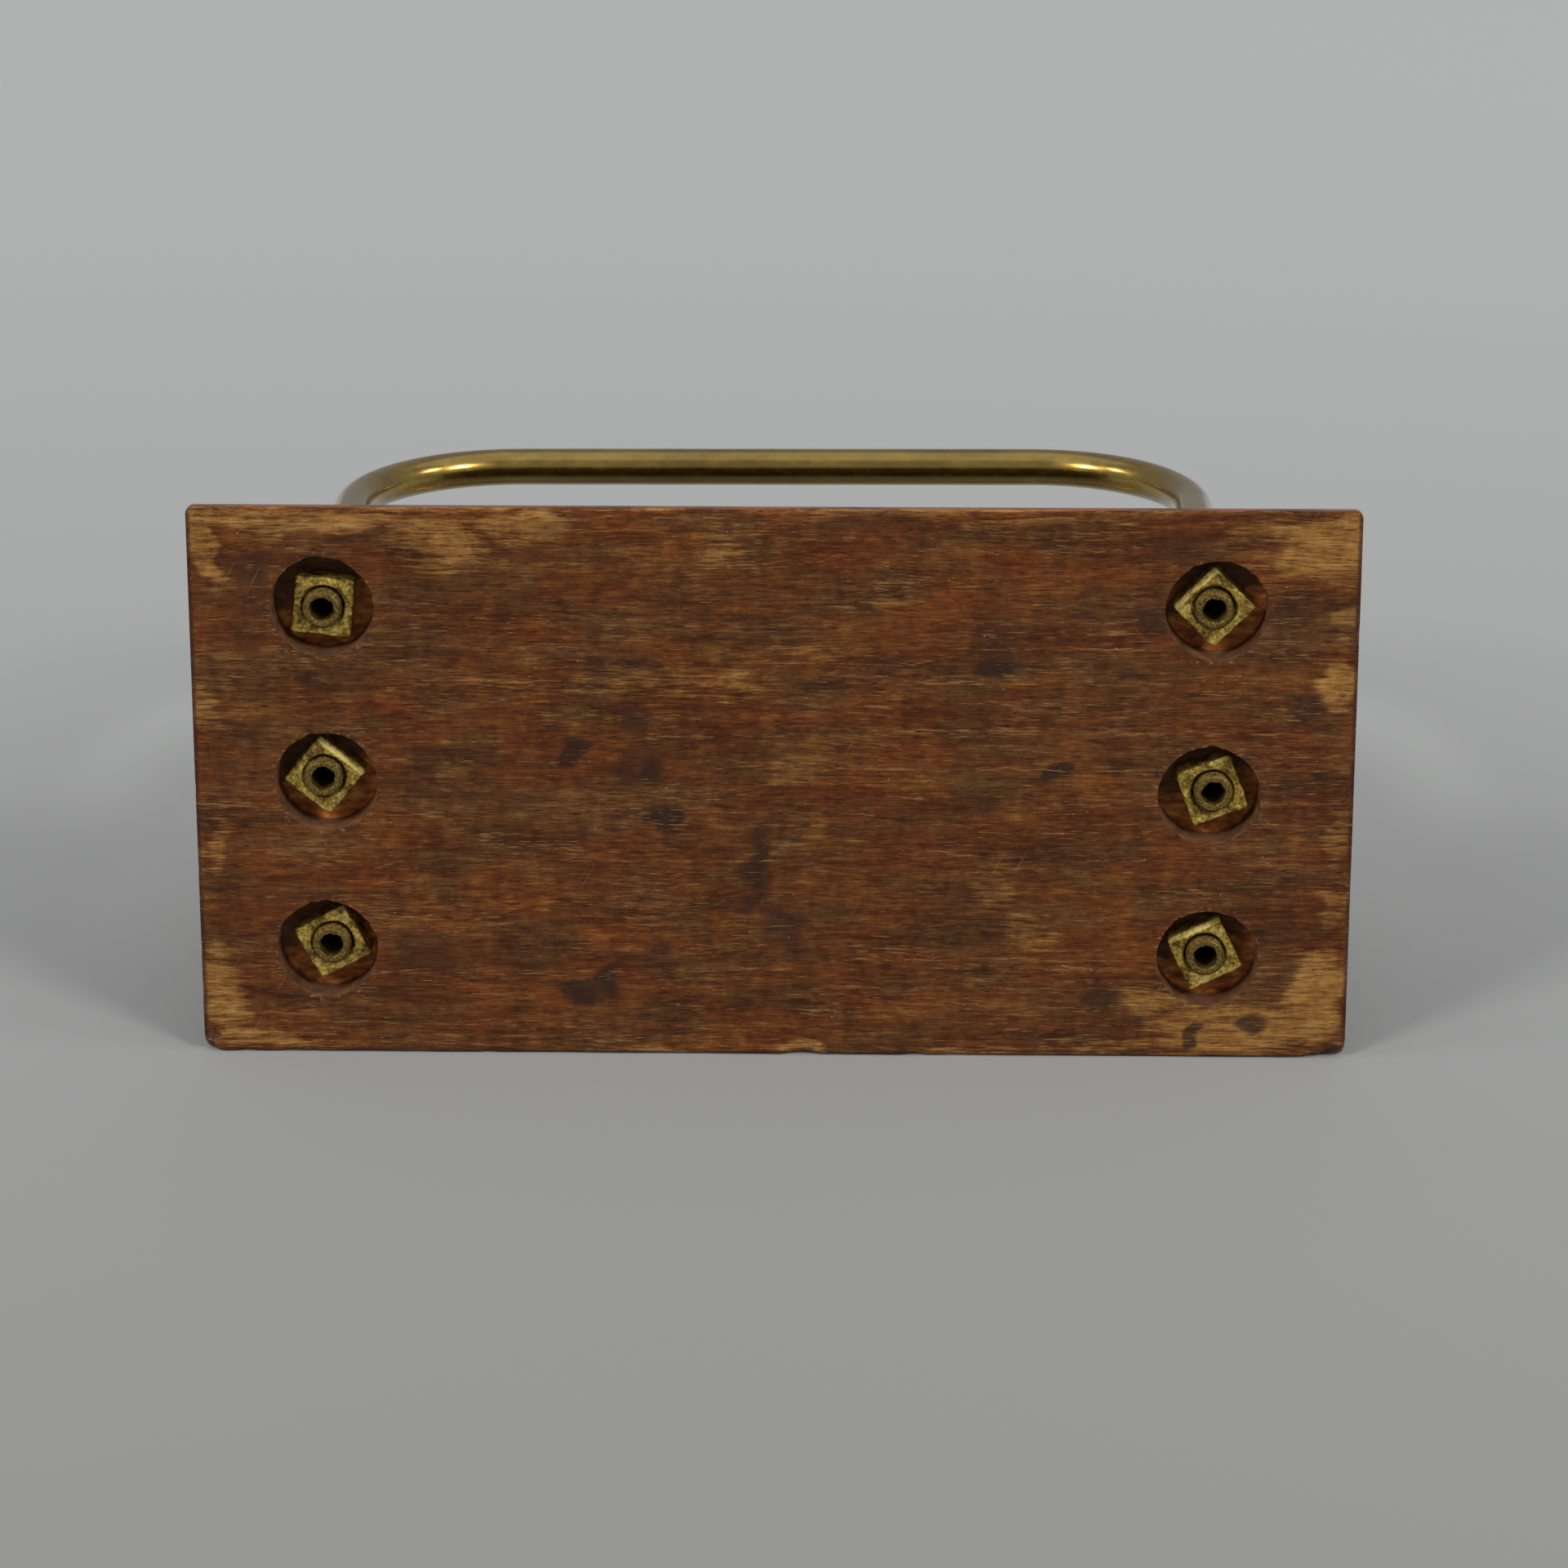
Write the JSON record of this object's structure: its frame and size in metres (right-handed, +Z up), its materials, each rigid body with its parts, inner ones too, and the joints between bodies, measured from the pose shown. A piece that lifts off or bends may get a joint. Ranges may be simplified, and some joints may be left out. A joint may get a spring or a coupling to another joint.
{
  "type": "letter rack",
  "caption": "Desk letter rack lying on its long edge: a moulded hardwood base with bent brass tube hoops, held from below by square brass nuts sunk in counterbores.",
  "frame": {"origin": "on the ground, under the middle of the part's box as it lies on the long edge of its base", "axes": "+X along the base's length; the underside faces -Y and 9 degrees up, and the hoops point along +Y and 9 degrees down; +Z up from the ground"},
  "size_m": [0.186, 0.1028, 0.0911],
  "materials": {
    "mahogany": "worn bare wood below, dark red polish on the moulding",
    "tube_brass": "satin, aged",
    "nut_brass": "dull, granular",
    "collar_brass": "satin, aged"
  },
  "bodies": {
    "root": {"base": "mahogany", "front_hoop": "tube_brass", "middle_hoop": "tube_brass", "back_hoop": "tube_brass", "front_left_nut": "nut_brass", "front_left_collar": "collar_brass", "front_right_nut": "nut_brass", "front_right_collar": "collar_brass", "middle_left_nut": "nut_brass", "middle_left_collar": "collar_brass", "middle_right_nut": "nut_brass", "middle_right_collar": "collar_brass", "back_left_nut": "nut_brass", "back_left_collar": "collar_brass", "back_right_nut": "nut_brass", "back_right_collar": "collar_brass"}
  },
  "joints": []
}
